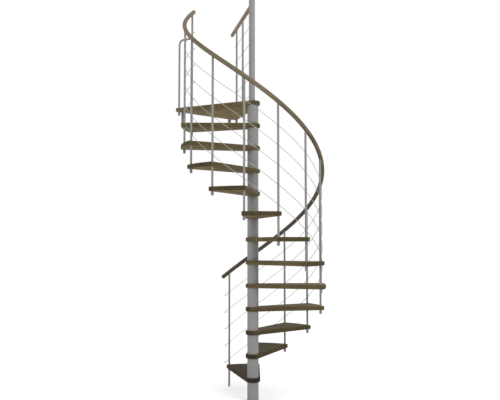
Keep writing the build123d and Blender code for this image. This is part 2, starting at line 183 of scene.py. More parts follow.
def straight(start: Array, run: Array, distances: Array, radii: Array, segments: int) -> Surface:
    """A skin turned about a straight line. Ring i stands at start + distance(i) * run.

    Args:
        start: Where the line starts.
        run: Its unit direction.
        distances: Ring distances along it.
        radii: Ring radii.
        segments: Points in a ring.

    Returns:
        The skin, with its faces outwards.
    """
    upright = abs(run[2]) > 0.9
    side = np.array([1.0, 0.0, 0.0]) if upright else np.cross(UP, run)
    side = side - run * side.dot(run)
    side = side / np.linalg.norm(side)
    centres = start[None] + distances[:, None] * run[None]
    count = len(distances)
    return tube(centres, radii, np.tile(run, (count, 1)), np.tile(side, (count, 1)), segments)


def turned(profile: Sequence[tuple[float, float]], start: Array, run: Array, segments: int) -> Surface:
    """A skin turned about a line from (radius, distance along it) pairs."""
    values = np.array(profile, dtype=float)
    return straight(start, run, values[:, 1], values[:, 0], segments)


def filled(distances: Array, radii: Array, spacing: float) -> tuple[Array, Array]:
    """Adds rings between far ones, so that no two stand further apart than spacing.

    Args:
        distances: Ring distances.
        radii: Ring radii. An added ring's radius lies on the line between its neighbours'.
        spacing: The widest gap that is left.

    Returns:
        The distance and the radius of each ring.
    """
    extra = [
        np.linspace(a, b, max(int(math.ceil((b - a) / spacing)), 1) + 1)[:-1]
        for a, b in zip(distances[:-1], distances[1:])
    ]
    every = np.concatenate([*extra, distances[-1:]])
    return every, np.interp(every, distances, radii)


@dataclass(frozen=True)
class Bar:
    """A round bar with rounded-over ends, and how fine its mesh is."""

    radius: float
    rounding: float
    ring_spacing: float
    segments: int
    steps: int = 4

    def rings(self, length: float) -> tuple[Array, Array]:
        """Rings of a bar of that length.

        Near an end the ring is rounding * (1 - cos a) along the bar, and its radius is
        radius - rounding * (1 - sin a), for a from almost nothing to a quarter turn.

        Args:
            length: The bar's whole length.

        Returns:
            The distance and the radius of each ring.
        """
        first_angle = 0.15
        turn = np.linspace(first_angle, np.pi / 2, self.steps)
        near = self.rounding * (1 - np.cos(turn))
        shrunk = self.radius - self.rounding * (1 - np.sin(turn))
        distances = np.concatenate([near, (length - near)[::-1]])
        return filled(distances, np.concatenate([shrunk, shrunk[::-1]]), self.ring_spacing)

    def laid(self, start: Array, run: Array, length: float) -> Surface:
        """The bar's skin, laid straight from its start."""
        return straight(start, run, *self.rings(length), self.segments)


def add_piece(
    name: str, surfaces: Sequence[Surface], material: Material, stands_for: Sequence[str] = ()
) -> None:
    """Makes one object of several skins and tells the frame about it.

    Args:
        name: The piece's name.
        surfaces: Its skins.
        material: Its material.
        stands_for: CAD nodes that it replaces.
    """
    starts = np.cumsum([0] + [len(s.points) for s in surfaces])
    points = np.vstack([s.points for s in surfaces])
    quads = np.vstack([s.quads + start for s, start in zip(surfaces, starts)])
    triangles = np.vstack([s.triangles + start for s, start in zip(surfaces, starts)])
    quad_uv = np.concatenate([s.quad_uv for s in surfaces]).reshape(-1, 2)
    triangle_uv = np.concatenate([s.triangle_uv for s in surfaces]).reshape(-1, 2)
    mesh = bpy.data.meshes.new(name)
    mesh.from_pydata(points.tolist(), [], quads.tolist() + triangles.tolist())
    mesh.polygons.foreach_set("use_smooth", np.ones(len(mesh.polygons), dtype=bool))
    layer = mesh.uv_layers.new(name="UVMap")
    layer.data.foreach_set("uv", np.vstack([quad_uv, triangle_uv]).ravel())
    mesh.set_sharp_from_angle(angle=math.radians(SHARP_ANGLE))
    mesh.materials.append(material)
    mesh.update()
    piece = bpy.data.objects.new(name, mesh)
    bpy.context.scene.collection.objects.link(piece)
    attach(piece, BODY)
    if stands_for:
        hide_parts(*stands_for)
    LOG.info("built %s, %d faces", name, len(mesh.polygons))


@dataclass(frozen=True)
class Flight:
    """The sizes that lay out the flight, in metres and degrees."""

    rise: float = 0.222
    step_turn: float = 26.07
    first_angle: float = 112.0
    tread_thickness: float = 0.040
    head_radius: float = 0.070
    baluster_circle: float = 0.666
    baluster_margin: float = 0.0225
    rail_circle: float = 0.672
    rail_height: float = 0.9705
    lowest_cable: float = 0.061
    cable_spacing: float = 0.1742
    rod: Bar = Bar(radius=0.010, rounding=0.0008, ring_spacing=0.060, segments=28, steps=3)
    rail: Bar = Bar(radius=0.020, rounding=0.009, ring_spacing=0.015, segments=40, steps=7)

    @property
    def landing_top(self) -> float:
        """Height of the landing's top over the floor."""
        return self.rise * (TREAD_COUNT + 1)

    @property
    def climb(self) -> float:
        """Height gained for each radian of turn."""
        return self.rise / math.radians(self.step_turn)

    @property
    def side_offset(self) -> float:
        """How far a baluster stands from the line through the axis beside its board's side."""
        return self.head_radius - self.baluster_margin

    @property
    def turn(self) -> float:
        """Angle from the first baluster to the last."""
        return self.step_turn * TREAD_COUNT

    def baluster_angle(self, number: int) -> float:
        """Angle of a baluster, counted from 1 at the foot of the flight."""
        return self.first_angle - self.step_turn * (number - 1)

    def tread_angle(self, number: int) -> float:
        """Angle of a tread's centre line."""
        return self.first_angle - self.step_turn * (number - 0.5)

    def rod_top(self, base: float) -> float:
        """Height where a baluster over that base ends, inside the rail."""
        return base + self.rail_height - self.rail.radius / 2

    def cable_rise(self, number: int) -> float:
        """Height of a cable over the nosings, counted from 0 at the lowest."""
        return self.lowest_cable + self.cable_spacing * number

    def climbing_run(
        self, radius: float, start_angle: float, height: float, distances: Array
    ) -> tuple[Array, Array, Array]:
        """Rings' places along a helix.

        At distance s the angle is start - s / l and the height is start + climb * s / l, where
        l = sqrt(radius^2 + climb^2) is the length of the helix per radian.

        Args:
            radius: The helix's radius.
            start_angle: Angle where it starts, in degrees.
            height: Height where it starts.
            distances: Distances along it.

        Returns:
            Centres, tangents and normals, one row for each distance.
        """
        per_radian = math.hypot(radius, self.climb)
        turn = math.radians(start_angle) - distances / per_radian
        flat = np.zeros_like(turn)
        normals = np.stack([np.cos(turn), np.sin(turn), flat], axis=1)
        centres = normals * radius
        centres[:, 2] = height + self.climb * distances / per_radian
        tangents = np.stack([np.sin(turn), -np.cos(turn), flat], axis=1) * (radius / per_radian)
        tangents[:, 2] = self.climb / per_radian
        return centres, tangents, normals


@dataclass(frozen=True)
class Landing:
    """Where the landing's edge, its newel post, rail and balusters stand, in metres and degrees."""

    flight: Flight
    reach: float = 0.724
    edge_angle: float = 127.6
    post_offset: float = 0.009
    rail_angle: float = 103.7
    rail_overhang: float = 0.246
    baluster_inset: float = 0.071
    baluster_spacing: float = 0.300
    lowest_cable: float = 0.080
    cable_spacing: float = 0.175
    post: Bar = Bar(radius=0.030, rounding=0.001, ring_spacing=0.050, segments=64)

    @property
    def baluster_places(self) -> tuple[float, float]:
        """Where the balusters stand. The outer one is set in from the landing's edge.

        The outer distance is (reach - inset - post . outward) / (rail direction . outward).

        Returns:
            The distances of the inner and the outer one from the post.
        """
        outward = direction(self.edge_angle)
        room = self.reach - self.baluster_inset - self.place(0, 0).dot(outward)
        outer = room / direction(self.rail_angle).dot(outward)
        return outer - self.baluster_spacing, outer

    @property
    def rail_length(self) -> float:
        """Distance from the post's axis to the rail's end."""
        return self.baluster_places[-1] + self.rail_overhang

    @property
    def side_angles(self) -> tuple[float, float]:
        """Angles of the nosing side and of the free side, which both touch the round head.

        Each side turns away from the baluster beside it by asin(side offset / the baluster's distance
        from the axis).

        Returns:
            Both angles in degrees.
        """
        flight = self.flight
        nosing = flight.tread_angle(TREAD_COUNT + 1) + FULL_TURN + flight.step_turn / 2
        nosing -= math.degrees(math.asin(flight.side_offset / flight.baluster_circle))
        foot = self.place(self.baluster_places[-1], 0)
        free = math.degrees(math.atan2(foot[1], foot[0]))
        free += math.degrees(math.asin(flight.side_offset / np.linalg.norm(foot)))
        return nosing, free

    def place(self, distance: float, height: float) -> Array:
        """A point over the landing, that far from the post along the rail."""
        return np.array([-self.post_offset, 0, height]) + direction(self.rail_angle) * distance

    def cable_height(self, number: int) -> float:
        """Height of a cable over the floor, counted from 0 at the lowest."""
        return self.flight.landing_top + self.lowest_cable + self.cable_spacing * number


class Graph:
    """Adds and joins nodes in one node tree."""

    def __init__(self, tree: NodeTree) -> None:
        """Keeps the material's tree, or the tree of the node group that is being filled."""
        self.tree = tree

    def add(self, kind: str, values: dict[Any, Any] | None = None, **settings: Any) -> Node:
        """Adds a node.

        Args:
            kind: The node's type.
            values: Value or source socket for each input, by name or number.
            settings: The node's own properties.

        Returns:
            The new node.
        """
        node = self.tree.nodes.new(kind)
        for name, value in settings.items():
            setattr(node, name, value)
        for name, value in (values or {}).items():
            if isinstance(value, bpy.types.NodeSocket):
                self.tree.links.new(value, node.inputs[name])
            else:
                node.inputs[name].default_value = value
        return node

    def math(self, operation: str, first: Any, second: Any = 0.0) -> Any:
        """Result of a Math node."""
        return self.add("ShaderNodeMath", {0: first, 1: second}, operation=operation).outputs[0]

    def product(self, first: Any, second: Any) -> Any:
        """The two values multiplied."""
        return self.math("MULTIPLY", first, second)

    def total(self, first: Any, second: Any) -> Any:
        """The two values added."""
        return self.math("ADD", first, second)

    def mixed(self, factor: Any, first: Any, second: Any) -> Any:
        """Colour that goes from first to second as the factor goes from 0 to 1."""
        return self.add("ShaderNodeMix", {0: factor, 6: first, 7: second}, data_type="RGBA").outputs[2]

    def ranged(self, value: Any, low: float, high: float, to_low: float, to_high: float) -> Any:
        """Value moved from one range into another and held there."""
        inputs = {"Value": value, "From Min": low, "From Max": high, "To Min": to_low, "To Max": to_high}
        return self.add("ShaderNodeMapRange", inputs).outputs["Result"]

    def noise(self, vector: Any, scale: float, detail: float) -> Any:
        """Noise, as a value about 0.5."""
        return self.add("ShaderNodeTexNoise", {"Vector": vector, "Scale": scale, "Detail": detail}).outputs[0]

    def stretched(self, vector: Any, scale: Place) -> Any:
        """Vector with each part multiplied."""
        return self.add("ShaderNodeVectorMath", {0: vector, 1: scale}, operation="MULTIPLY").outputs[0]

    def scaled(self, vector: Any, scale: Any) -> Any:
        """Vector or colour with all its parts multiplied alike."""
        return self.add("ShaderNodeVectorMath", {0: vector, "Scale": scale}, operation="SCALE").outputs[0]

    def part(self, vector: Any, axis: str) -> Any:
        """One part of a vector: X, Y or Z."""
        return self.add("ShaderNodeSeparateXYZ", {0: vector}).outputs[axis]

    def normal(self) -> Any:
        """The face's normal. The pieces aren't turned, so it is the same in the world and the object."""
        return self.add("ShaderNodeNewGeometry").outputs["Normal"]


@dataclass
class Group:
    """A shader node group that is being built: its graph and the nodes of its inputs and outputs."""

    graph: Graph
    source: Node
    output: Node

    @classmethod
    def start(cls, name: str, inputs: dict[str, tuple[str, Any]], outputs: dict[str, str]) -> Group:
        """Makes an empty group.

        Args:
            name: The group's name.
            inputs: Kind and default of each input, by name.
            outputs: Kind of each output, by name.

        Returns:
            The group, ready to be filled.
        """
        tree = bpy.data.node_groups.new(name, "ShaderNodeTree")
        for label, (kind, default) in inputs.items():
            socket = tree.interface.new_socket(name=label, in_out="INPUT", socket_type=f"NodeSocket{kind}")
            if default is not None:
                socket.default_value = default
        for label, kind in outputs.items():
            tree.interface.new_socket(name=label, in_out="OUTPUT", socket_type=f"NodeSocket{kind}")
        return cls(Graph(tree), tree.nodes.new("NodeGroupInput"), tree.nodes.new("NodeGroupOutput"))

    def given(self, label: str) -> Any:
        """The socket of an input."""
        return self.source.outputs[label]

    def finish(self, **results: Any) -> NodeTree:
        """Ends the group.

        Args:
            results: The source socket of each output, by name.

        Returns:
            The group's tree.
        """
        for label, socket in results.items():
            self.graph.tree.links.new(socket, self.output.inputs[label])
        return self.graph.tree


class Effects:
    """The node groups that several materials share, each built once."""

    def __init__(self) -> None:
        """Builds every group."""
        self.wood = self.wood_grain()
        self.coat = self.powder_coat()
        self.around = self.around_tube()
        self.strand = self.twisted_strand()
        self.dust = self.settled_dust()

    @staticmethod
    def wood_grain() -> NodeTree:
        """Stained wood that runs along X.

        The growth bands are sin(bands * turn * (y + slope * z + pull * drift)). The tone is a weighted
        sum of the bands, fine fibres and large patches. Pores are dark pits. The edge input darkens end
        grain, partly as its deeper stain and partly as painted shade, and darkens the sides as painted shade.

        Returns:
            The group's tree.
        """
        inputs = {
            "Vector": ("Vector", None),
            "Light": ("Color", rgba((0.2, 0.14, 0.09))),
            "Dark": ("Color", rgba((0.1, 0.07, 0.045))),
            "Bands": ("Float", 14.0),
            "Edge_grain_and_shade": ("Float", 0.0),
        }
        outputs = {"Color": "Color", "Roughness": "Float", "Height": "Float"}
        group = Group.start("wood_grain", inputs, outputs)
        graph, vector = group.graph, group.given("Vector")
        turn, slope, pull = 6.28, 0.6, 0.16
        band_share, fibre_share, patch_share = 0.20, 0.6, 0.80
        pore_depth, edge_grain_and_shade_depth = 0.45, 0.62

        drift = graph.noise(graph.stretched(vector, (0.7, 3.0, 3.0)), scale=2.2, detail=2.0)
        depth = graph.total(graph.part(vector, "Y"), graph.product(graph.part(vector, "Z"), slope))
        phase = graph.product(graph.total(depth, graph.product(drift, pull)), turn)
        band = graph.math("SINE", graph.product(phase, group.given("Bands")))
        band = graph.ranged(band, -1, 1, 0, 1)
        fibre = graph.noise(graph.stretched(vector, (6.0, 160.0, 160.0)), scale=1.0, detail=4.0)
        patch = graph.noise(graph.stretched(vector, (1.2, 4.0, 4.0)), scale=2.4, detail=2.0)
        tone = graph.total(graph.product(band, band_share), graph.product(fibre, fibre_share))
        tone = graph.total(tone, graph.product(patch, patch_share))
        tone = graph.ranged(tone, 0.40, 1.20, 0, 1)
        colour = graph.mixed(tone, group.given("Dark"), group.given("Light"))

        pore = graph.noise(graph.stretched(vector, (14.0, 620.0, 620.0)), scale=1.0, detail=2.0)
        wall = graph.ranged(pore, 0.30, 0.46, 0, 1)
        colour = graph.mixed(graph.ranged(wall, 0, 1, pore_depth, 0), colour, rgba(PORE))
        # Sides and end grain are mixed towards near-black: painted shade on the sides, partly stain and
        # partly painted shade on the end grain.
        colour = graph.mixed(graph.product(group.given("Edge_grain_and_shade"), edge_grain_and_shade_depth), colour, rgba(END_GRAIN_AND_PAINTED_SHADE))
        rough = graph.ranged(graph.total(fibre, graph.product(wall, -0.3)), 0, 1, 0.72, 0.52)
        height = graph.total(graph.product(wall, 0.7), graph.product(fibre, 0.3))
        return group.finish(Color=colour, Roughness=rough, Height=height)

    @staticmethod
    def powder_coat() -> NodeTree:
        """A satin powder coat: orange-peel dimples, a faint change of tone, and rubbed patches.

        Returns:
            The group's tree.
        """
        inputs = {
            "Vector": ("Vector", None),
            "Colour": ("Color", rgba((0.25, 0.25, 0.25))),
            "Rough": ("Float", 0.4),
        }
        outputs = {"Color": "Color", "Roughness": "Float", "Height": "Float"}
        group = Group.start("powder_coat", inputs, outputs)
        graph, vector = group.graph, group.given("Vector")
        peel = graph.noise(vector, scale=900.0, detail=1.0)
        cloud = graph.noise(vector, scale=5.0, detail=4.0)
        rubbed = graph.ranged(graph.noise(vector, scale=22.0, detail=6.0), 0.55, 0.72, 0, 1)
        colour = graph.scaled(group.given("Colour"), graph.ranged(cloud, 0.3, 0.7, 0.93, 1.05))
        rough = graph.total(group.given("Rough"), graph.product(rubbed, -0.09))
        rough = graph.total(rough, graph.ranged(cloud, 0.3, 0.7, 0.03, -0.03))
        return group.finish(Color=colour, Roughness=rough, Height=peel)

    @staticmethod
    def around_tube() -> NodeTree:
        """Turns a tube's UV into a place on a round bar along X, so that no pattern shows a seam.

        The place is (u, radius * cos(2 pi v), radius * sin(2 pi v)).

        Returns:
            The group's tree.
        """
        inputs = {"UV": ("Vector", None), "Radius": ("Float", 0.02)}
        group = Group.start("around_tube", inputs, {"Vector": "Vector"})
        graph, uv, radius = group.graph, group.given("UV"), group.given("Radius")
        turn = graph.product(graph.part(uv, "Y"), 2 * math.pi)
        side = graph.product(graph.math("COSINE", turn), radius)
        up = graph.product(graph.math("SINE", turn), radius)
        place = graph.add("ShaderNodeCombineXYZ", {0: graph.part(uv, "X"), 1: side, 2: up})
        return group.finish(Vector=place.outputs[0])

    @staticmethod
    def twisted_strand() -> NodeTree:
        """Wires laid round a cable: height |sin(pi * wires * (v + u / lay))| over a tube's UV, and a mask for
        painted shade in the gaps between the wires.

        Returns:
            The group's tree.
        """
        inputs = {"UV": ("Vector", None), "Wires": ("Float", 7.0), "Lay": ("Float", 0.030)}
        group = Group.start("twisted_strand", inputs, {"Height": "Float", "Groove": "Float"})
        graph, uv, wires = group.graph, group.given("UV"), group.given("Wires")
        around = graph.product(graph.part(uv, "Y"), wires)
        along = graph.product(graph.math("DIVIDE", graph.part(uv, "X"), group.given("Lay")), wires)
        height = graph.math("SINE", graph.product(graph.total(around, along), math.pi))
        height = graph.math("ABSOLUTE", height)
        # The second output marks the gaps between the wires for painted shade.
        return group.finish(Height=height, Groove=graph.ranged(height, 0.0, 0.45, 1, 0))

    @staticmethod
    def settled_dust() -> NodeTree:
        """How much pale dust lies on a face that looks up, from 0 to 1.

        Returns:
            The group's tree.
        """
        inputs = {"Vector": ("Vector", None), "Amount": ("Float", 0.1)}
        group = Group.start("settled_dust", inputs, {"Mask": "Float"})
        graph = group.graph
        facing = graph.ranged(graph.part(graph.normal(), "Z"), 0.5, 1.0, 0, 1)
        patches = graph.ranged(graph.noise(group.given("Vector"), scale=9.0, detail=5.0), 0.42, 0.68, 0.2, 1)
        return group.finish(Mask=graph.product(graph.product(facing, patches), group.given("Amount")))


@dataclass
class Finish:
    """A new material with its node graph and its shader."""

    material: Material
    graph: Graph
    shader: Node

    @classmethod
    def start(cls, name: str) -> Finish:
        """Makes a plain material of that name.

        Args:
            name: The material's name.

        Returns:
            The material, ready to be finished.
        """
        material = bpy.data.materials.new(name)
        material.use_nodes = True
        return cls(material, Graph(material.node_tree), material.node_tree.nodes["Principled BSDF"])

    def group(self, tree: NodeTree, values: dict[str, Any]) -> Node:
        """Places a shared group with its own values."""
        return self.graph.add("ShaderNodeGroup", values, node_tree=tree)

    def place(self) -> Any:
        """Object coordinates."""
        return self.graph.add("ShaderNodeTexCoord").outputs["Object"]

    def uv(self) -> Any:
        """The UV coordinates."""
        return self.graph.add("ShaderNodeTexCoord").outputs["UV"]

    def join(self, **sources: Any) -> None:
        """Feeds the shader's inputs. An underscore in a name stands for a space."""
        for name, socket in sources.items():
            self.graph.tree.links.new(socket, self.shader.inputs[name.replace("_", " ")])

    def set(self, **values: Any) -> None:
        """Sets the shader's inputs. An underscore in a name stands for a space."""
        for name, value in values.items():
            self.shader.inputs[name.replace("_", " ")].default_value = value

    def bump(self, height: Any, distance: float, strength: float) -> None:
        """Feeds the shader's normal from a height, given in the bump's own distance in metres."""
        values = {"Height": height, "Distance": distance, "Strength": strength}
        self.join(Normal=self.graph.add("ShaderNodeBump", values).outputs["Normal"])


@dataclass(frozen=True)
class WoodFinish:
    """A stained, lacquered wood. A board reads Object coordinates, and a round bar its UV.

    The colour's gain goes from its first value to its second over the first metres of its run, as painted
    shade low and painted light high.
    """

    name: str
    light: Colour
    dark: Colour
    bands: float
    tube_radius: float = 0.0
    turn: float = 0.0
    shift: Place = (0.0, 0.0, 0.0)
    # Painted shade on the board's sides, and on its end grain partly deeper stain and partly painted shade.
    painted_side_shade: float = 0.0
    end_grain_and_painted_shade: float = 0.0
    dust: float = 0.0
    # Painted light and shade: the colour's gain along a rail.
    painted_light_gain: tuple[float, float] = (1.0, 1.0)
    painted_light_run: float = 1.0
    specular: float = 0.12
    relief: Relief = (0.0003, 0.5)

    def board(self, finish: Finish) -> tuple[Any, Any]:
        """Where a point lies in a board along X, and how much its sides and end grain are darkened.

        A side gets painted shade as its normal leaves Z. End grain darkens as its normal nears the board's
        length, partly as its deeper stain and partly as painted shade.

        Args:
            finish: The material.

        Returns:
            The place and the shade.
        """
        graph = finish.graph
        turn = (0, 0, math.radians(self.turn))
        inputs = {"Vector": finish.place(), "Rotation": turn, "Location": self.shift}
        place = graph.add("ShaderNodeMapping", inputs).outputs[0]
        inputs = {"Vector": graph.normal(), "Rotation": turn}
        facing = graph.add("ShaderNodeMapping", inputs, vector_type="VECTOR").outputs[0]
        level = graph.math("ABSOLUTE", graph.part(facing, "Z"))
        lengthwise = graph.math("ABSOLUTE", graph.part(facing, "X"))
        # Painted shade on faces that turn away from level; end grain darkens partly as deeper stain and
        # partly as painted shade.
        side = graph.ranged(level, 0.25, 0.95, self.painted_side_shade, 0)
        end = graph.ranged(lengthwise, 0.25, 0.75, 0, self.end_grain_and_painted_shade)
        return place, graph.math("MAXIMUM", side, end)

    def build(self, effects: Effects) -> Material:
        """Makes the material.

        Args:
            effects: The shared node groups.

        Returns:
            The material.
        """
        finish = Finish.start(self.name)
        graph = finish.graph
        if self.tube_radius:
            values = {"UV": finish.uv(), "Radius": self.tube_radius}
            vector, edge = finish.group(effects.around, values).outputs[0], 0.0
        else:
            vector, edge = self.board(finish)
        values = {"Vector": vector, "Light": rgba(self.light), "Dark": rgba(self.dark)}
        wood = finish.group(effects.wood, {**values, "Bands": self.bands, "Edge_grain_and_shade": edge})
        colour = wood.outputs["Color"]
        if self.dust:
            dust = finish.group(effects.dust, {"Vector": finish.place(), "Amount": self.dust})
            colour = graph.mixed(dust.outputs["Mask"], colour, rgba(DUST_ON_WOOD))
        # Painted shade at the rail's lower end, rising to painted light at its upper end.
        if self.painted_light_gain != (1.0, 1.0):
            painted_light_gain = graph.ranged(graph.part(vector, "X"), 0.0, self.painted_light_run, *self.painted_light_gain)
            colour = graph.scaled(colour, painted_light_gain)
        finish.join(Base_Color=colour, Roughness=wood.outputs["Roughness"])
        finish.bump(wood.outputs["Height"], *self.relief)
        finish.set(Specular_IOR_Level=self.specular)
        return finish.material


@dataclass(frozen=True)
class CoatFinish:
    """A satin powder coat over steel, in Object coordinates."""

    name: str
    colour: Colour
    roughness: float
    dust: float = 0.12
    relief: Relief = (0.0001, 0.35)

    def build(self, effects: Effects) -> Material:
        """Makes the material.

        Args:
            effects: The shared node groups.

        Returns:
            The material.
        """
        finish = Finish.start(self.name)
        place = finish.place()
        values = {"Vector": place, "Colour": rgba(self.colour), "Rough": self.roughness}
        coat = finish.group(effects.coat, values)
        dust = finish.group(effects.dust, {"Vector": place, "Amount": self.dust})
        colour = finish.graph.mixed(dust.outputs["Mask"], coat.outputs["Color"], rgba(DUST_ON_PAINT))
        finish.join(Base_Color=colour, Roughness=coat.outputs["Roughness"])
        finish.bump(coat.outputs["Height"], *self.relief)
        return finish.material


@dataclass(frozen=True)
class CableFinish:
    """Stranded stainless steel, over a tube's UV, with painted shade in the gaps between the wires."""

    name: str
    colour: Colour
    # How far the gaps between the wires are darkened, as painted shade.
    groove_shade_depth: float = 0.7
    metallic: float = 0.75
    relief: Relief = (0.0006, 0.9)

    def build(self, effects: Effects) -> Material:
        """Makes the material.

        Args:
            effects: The shared node groups.

        Returns:
            The material.
        """
        finish = Finish.start(self.name)
        graph, uv = finish.graph, finish.uv()
        strand = finish.group(effects.strand, {"UV": uv})
        tint = graph.noise(uv, scale=40.0, detail=3.0)
        colour = graph.mixed(graph.ranged(tint, 0.3, 0.7, 0, 0.25), rgba(self.colour), rgba(self.colour, 0.8))
        # Painted shade: the gaps between the wires are mixed towards near-black.
        groove_shade = graph.product(strand.outputs["Groove"], self.groove_shade_depth)
        colour = graph.mixed(groove_shade, colour, rgba(STRAND_GROOVE_SHADE))
        finish.join(Base_Color=colour, Roughness=graph.ranged(tint, 0.3, 0.7, 0.26, 0.40))
        finish.set(Metallic=self.metallic)
        finish.bump(strand.outputs["Height"], *self.relief)
        return finish.material


@dataclass(frozen=True)
class StudFinish:
    """Smooth stainless steel, with the fine rings that turning leaves and a few handled patches."""

    name: str
    colour: Colour
    metallic: float = 0.6
    relief: Relief = (0.00003, 0.5)

    def build(self) -> Material:
        """Makes the material, which reads the tube's UV and Object coordinates.

        Returns:
            The material.
        """
        finish = Finish.start(self.name)
        graph = finish.graph
        rings = graph.noise(graph.stretched(finish.uv(), (9000.0, 0.0, 0.0)), scale=1.0, detail=2.0)
        handled = graph.noise(finish.place(), scale=60.0, detail=4.0)
        dull = graph.ranged(handled, 0.4, 0.7, 0, 0.3)
        colour = graph.mixed(dull, rgba(self.colour), rgba(self.colour, 0.7))
        finish.join(Base_Color=colour, Roughness=graph.ranged(handled, 0.3, 0.7, 0.26, 0.42))
        finish.set(Metallic=self.metallic)
        finish.bump(rings, *self.relief)
        return finish.material


@dataclass(frozen=True)
class ZincFinish:
    """Zinc plate, with the faint flower pattern that it dries into, in Object coordinates."""

    name: str
    colour: Colour
    cell_scale: float = 140.0
    metallic: float = 0.9
    relief: Relief = (0.00008, 0.5)

    def build(self) -> Material:
        """Makes the material.

        Returns:
            The material.
        """
        finish = Finish.start(self.name)
        graph, place = finish.graph, finish.place()
        cells = graph.add("ShaderNodeTexVoronoi", {"Vector": place, "Scale": self.cell_scale})
        middle = cells.outputs["Distance"]
        flower = graph.ranged(middle, 0.0, 0.8, 0, 0.3)
        stain = graph.ranged(graph.noise(place, scale=30.0, detail=5.0), 0.5, 0.75, 0, 0.35)
        colour = graph.mixed(flower, rgba(self.colour), rgba(self.colour, 0.7))
        colour = graph.mixed(stain, colour, rgba(ZINC_STAIN))
        finish.join(Base_Color=colour, Roughness=graph.ranged(middle, 0.0, 0.8, 0.34, 0.5))
        finish.set(Metallic=self.metallic)
        finish.bump(graph.noise(place, scale=500.0, detail=2.0), *self.relief)
        return finish.material


@dataclass(frozen=True)
class PlasticFinish:
    """A moulded plastic with a fine spark-eroded surface, in Object coordinates."""

    name: str
    colour: Colour
    roughness: float = 0.5
    relief: Relief = (0.00006, 0.5)

    def build(self, effects: Effects) -> Material:
        """Makes the material.

        Args:
            effects: The shared node groups.

        Returns:
            The material.
        """
        finish = Finish.start(self.name)
        place = finish.place()
        values = {"Vector": place, "Colour": rgba(self.colour), "Rough": self.roughness}
        coat = finish.group(effects.coat, values)
        finish.join(Base_Color=coat.outputs["Color"], Roughness=coat.outputs["Roughness"])
        finish.bump(finish.graph.noise(place, scale=1800.0, detail=1.0), *self.relief)
        return finish.material


@dataclass(frozen=True)
class Column:
    """The spacers between the boards, and the newel post with its cap."""

    flight: Flight
    landing: Landing
    spacer: Bar = Bar(radius=0.054, rounding=0.0015, ring_spacing=0.040, segments=96)
    plate_thickness: float = 0.010
    post_height: float = 1.020
    cap_height: float = 0.008
    cap_bevel: float = 0.0006
    crown_share: float = 0.6
    crown_steps: int = 7

    def spacers(self) -> list[Surface]:
        """One tube from each board to the next. The lowest one stands on the floor plate.

        Returns:
            The spacers' skins.
        """
        skins = []
        for number in range(TREAD_COUNT + 1):
            bottom = self.flight.rise * number if number else self.plate_thickness
            top = self.flight.rise * (number + 1) - self.flight.tread_thickness
            skins.append(self.spacer.laid(UP * bottom, UP, top - bottom))
        return skins

    def cap(self, seat: Array) -> Surface:
        """The cap, whose edge is rounded over.

        On the rounding the radius is post radius - c * (1 - cos a) and the height is
        cap height - c * (1 - sin a), for a over a quarter turn and c a share of the cap's height.

        Args:
            seat: Centre of the post's end.

        Returns:
            The cap's skin.
        """
        radius, height = self.landing.post.radius, self.cap_height
        crown = self.crown_share * height
        turn = np.linspace(0, np.pi / 2, self.crown_steps)
        rounded = np.stack([radius - crown * (1 - np.cos(turn)), height - crown * (1 - np.sin(turn))], axis=1)
        profile = [(radius - self.cap_bevel, 0), (radius, self.cap_bevel), *rounded, (radius / 2, height)]
        return turned(profile, seat, UP, self.landing.post.segments)

    def build(self, paint: Material) -> None:
        """Builds the painted pieces of the column.

        Args:
            paint: The column's powder coat, made a little lighter than the balusters' as painted light.
        """
        add_piece("column", self.spacers(), paint, ["column_spacers"])
        length = self.post_height - self.cap_height
        foot = self.landing.place(0, self.flight.landing_top)
        post = self.landing.post.laid(foot, UP, length)
        add_piece("post_tube", [post], paint, ["newel_post"])
        add_piece("post_crown", [self.cap(foot + UP * length)], paint, ["post_cap"])


@dataclass(frozen=True)
class Balusters:
    """The flight's balusters, the landing's, and the bushes in their cable holes."""

    flight: Flight
    landing: Landing
    plug: float = 0.006
    drop: float = 0.033
    bush: Bar = Bar(radius=0.0052, rounding=0.0014, ring_spacing=0.060, segments=16)
    bush_length: float = 0.0236

    def rod(self, foot: Array, base: float) -> Surface:
        """One tube from its foot up into the rail over that base."""
        return self.flight.rod.laid(foot, UP, self.flight.rod_top(base) - foot[2])

    def collar(self, centre: Array, run: Array) -> Surface:
        """A bush that shows on both sides of a baluster, round the cable."""
        return self.bush.laid(centre - run * self.bush_length / 2, run, self.bush_length)

    def build(self, paint: Material, plastic: Material) -> None:
        """Builds the tubes and the bushes.

        Args:
            paint: The balusters' powder coat.
            plastic: The bushes' plastic.
        """
        flight, landing = self.flight, self.landing
        rods, bushes = [], []
        for number in range(1, TREAD_COUNT + 2):
            turn, base = flight.baluster_angle(number), flight.rise * number
            under_board = base - flight.rise - flight.tread_thickness - self.drop
            foot = direction(turn) * flight.baluster_circle
            rods.append(self.rod(foot + UP * (self.plug if number == 1 else under_board), base))
            run = direction(turn - FULL_TURN / 4) * flight.baluster_circle + UP * flight.climb
            run = run / np.linalg.norm(run)
            for i in range(CABLE_COUNT):
                bushes.append(self.collar(foot + UP * (base + flight.cable_rise(i)), run))
        add_piece("flight_balusters", rods, paint, ["balusters"])
        rods = []
        bottom = flight.landing_top - flight.tread_thickness - self.drop
        for distance in landing.baluster_places:
            rods.append(self.rod(landing.place(distance, bottom), flight.landing_top))
            for i in range(CABLE_COUNT):
                centre = landing.place(distance, landing.cable_height(i))
                bushes.append(self.collar(centre, direction(landing.rail_angle)))
        add_piece("landing_rods", rods, paint, ["landing_balusters"])
        add_piece("cable_bushes", bushes, plastic)


